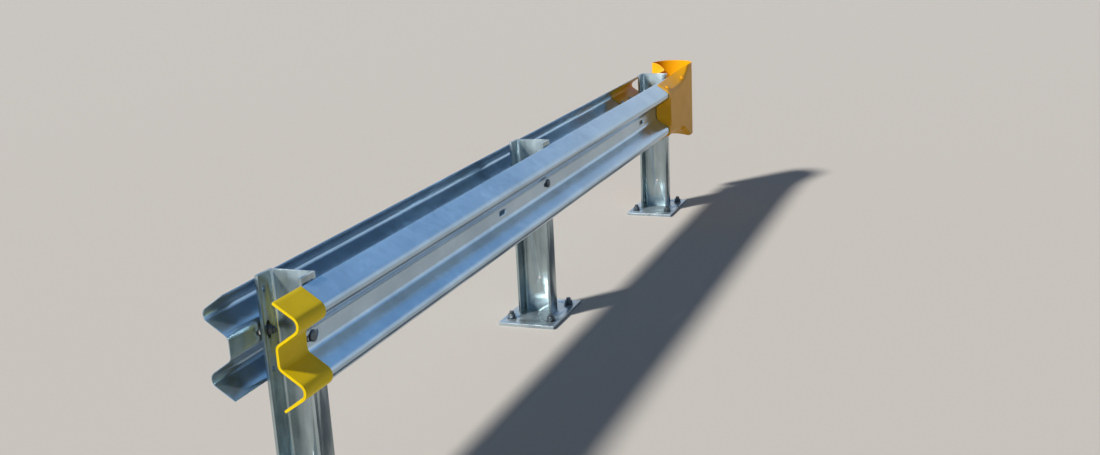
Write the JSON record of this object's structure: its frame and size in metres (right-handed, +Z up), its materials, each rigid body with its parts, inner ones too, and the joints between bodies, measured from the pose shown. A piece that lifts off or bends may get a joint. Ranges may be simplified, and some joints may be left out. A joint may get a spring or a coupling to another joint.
{
  "type": "highway guardrail section",
  "caption": "Surface-mounted double-sided highway guardrail: W-section steel rails on channel posts with base plates, an end sleeve and a rounded bullnose.",
  "frame": {"origin": "centre of the middle base plate's underside, on the ground", "axes": "+X along the rails towards the rounded nose, +Y to the left rail, +Z up"},
  "size_m": [4.3748, 0.3092, 0.8001],
  "materials": {
    "galvanised_plate": "hot-dip galvanised, dull",
    "galvanised_post": "hot-dip galvanised, semi-gloss",
    "weld": "galvanised over the bead",
    "galvanised_rail": "hot-dip galvanised, semi-gloss, lightly scratched",
    "lemon_paint": "semi-gloss powder coat",
    "orange_paint": "semi-gloss powder coat"
  },
  "bodies": {
    "root": {"near_base_plate": "galvanised_plate", "mid_base_plate": "galvanised_plate", "far_base_plate": "galvanised_plate", "near_post": "galvanised_post", "mid_post": "galvanised_post", "far_post": "galvanised_post", "near_foot_weld": "weld", "mid_foot_weld": "weld", "far_foot_weld": "weld", "left_rail": "galvanised_rail", "right_rail": "galvanised_rail", "end_sleeve": "lemon_paint", "nose_splice": "orange_paint", "nose": "orange_paint"}
  },
  "joints": []
}
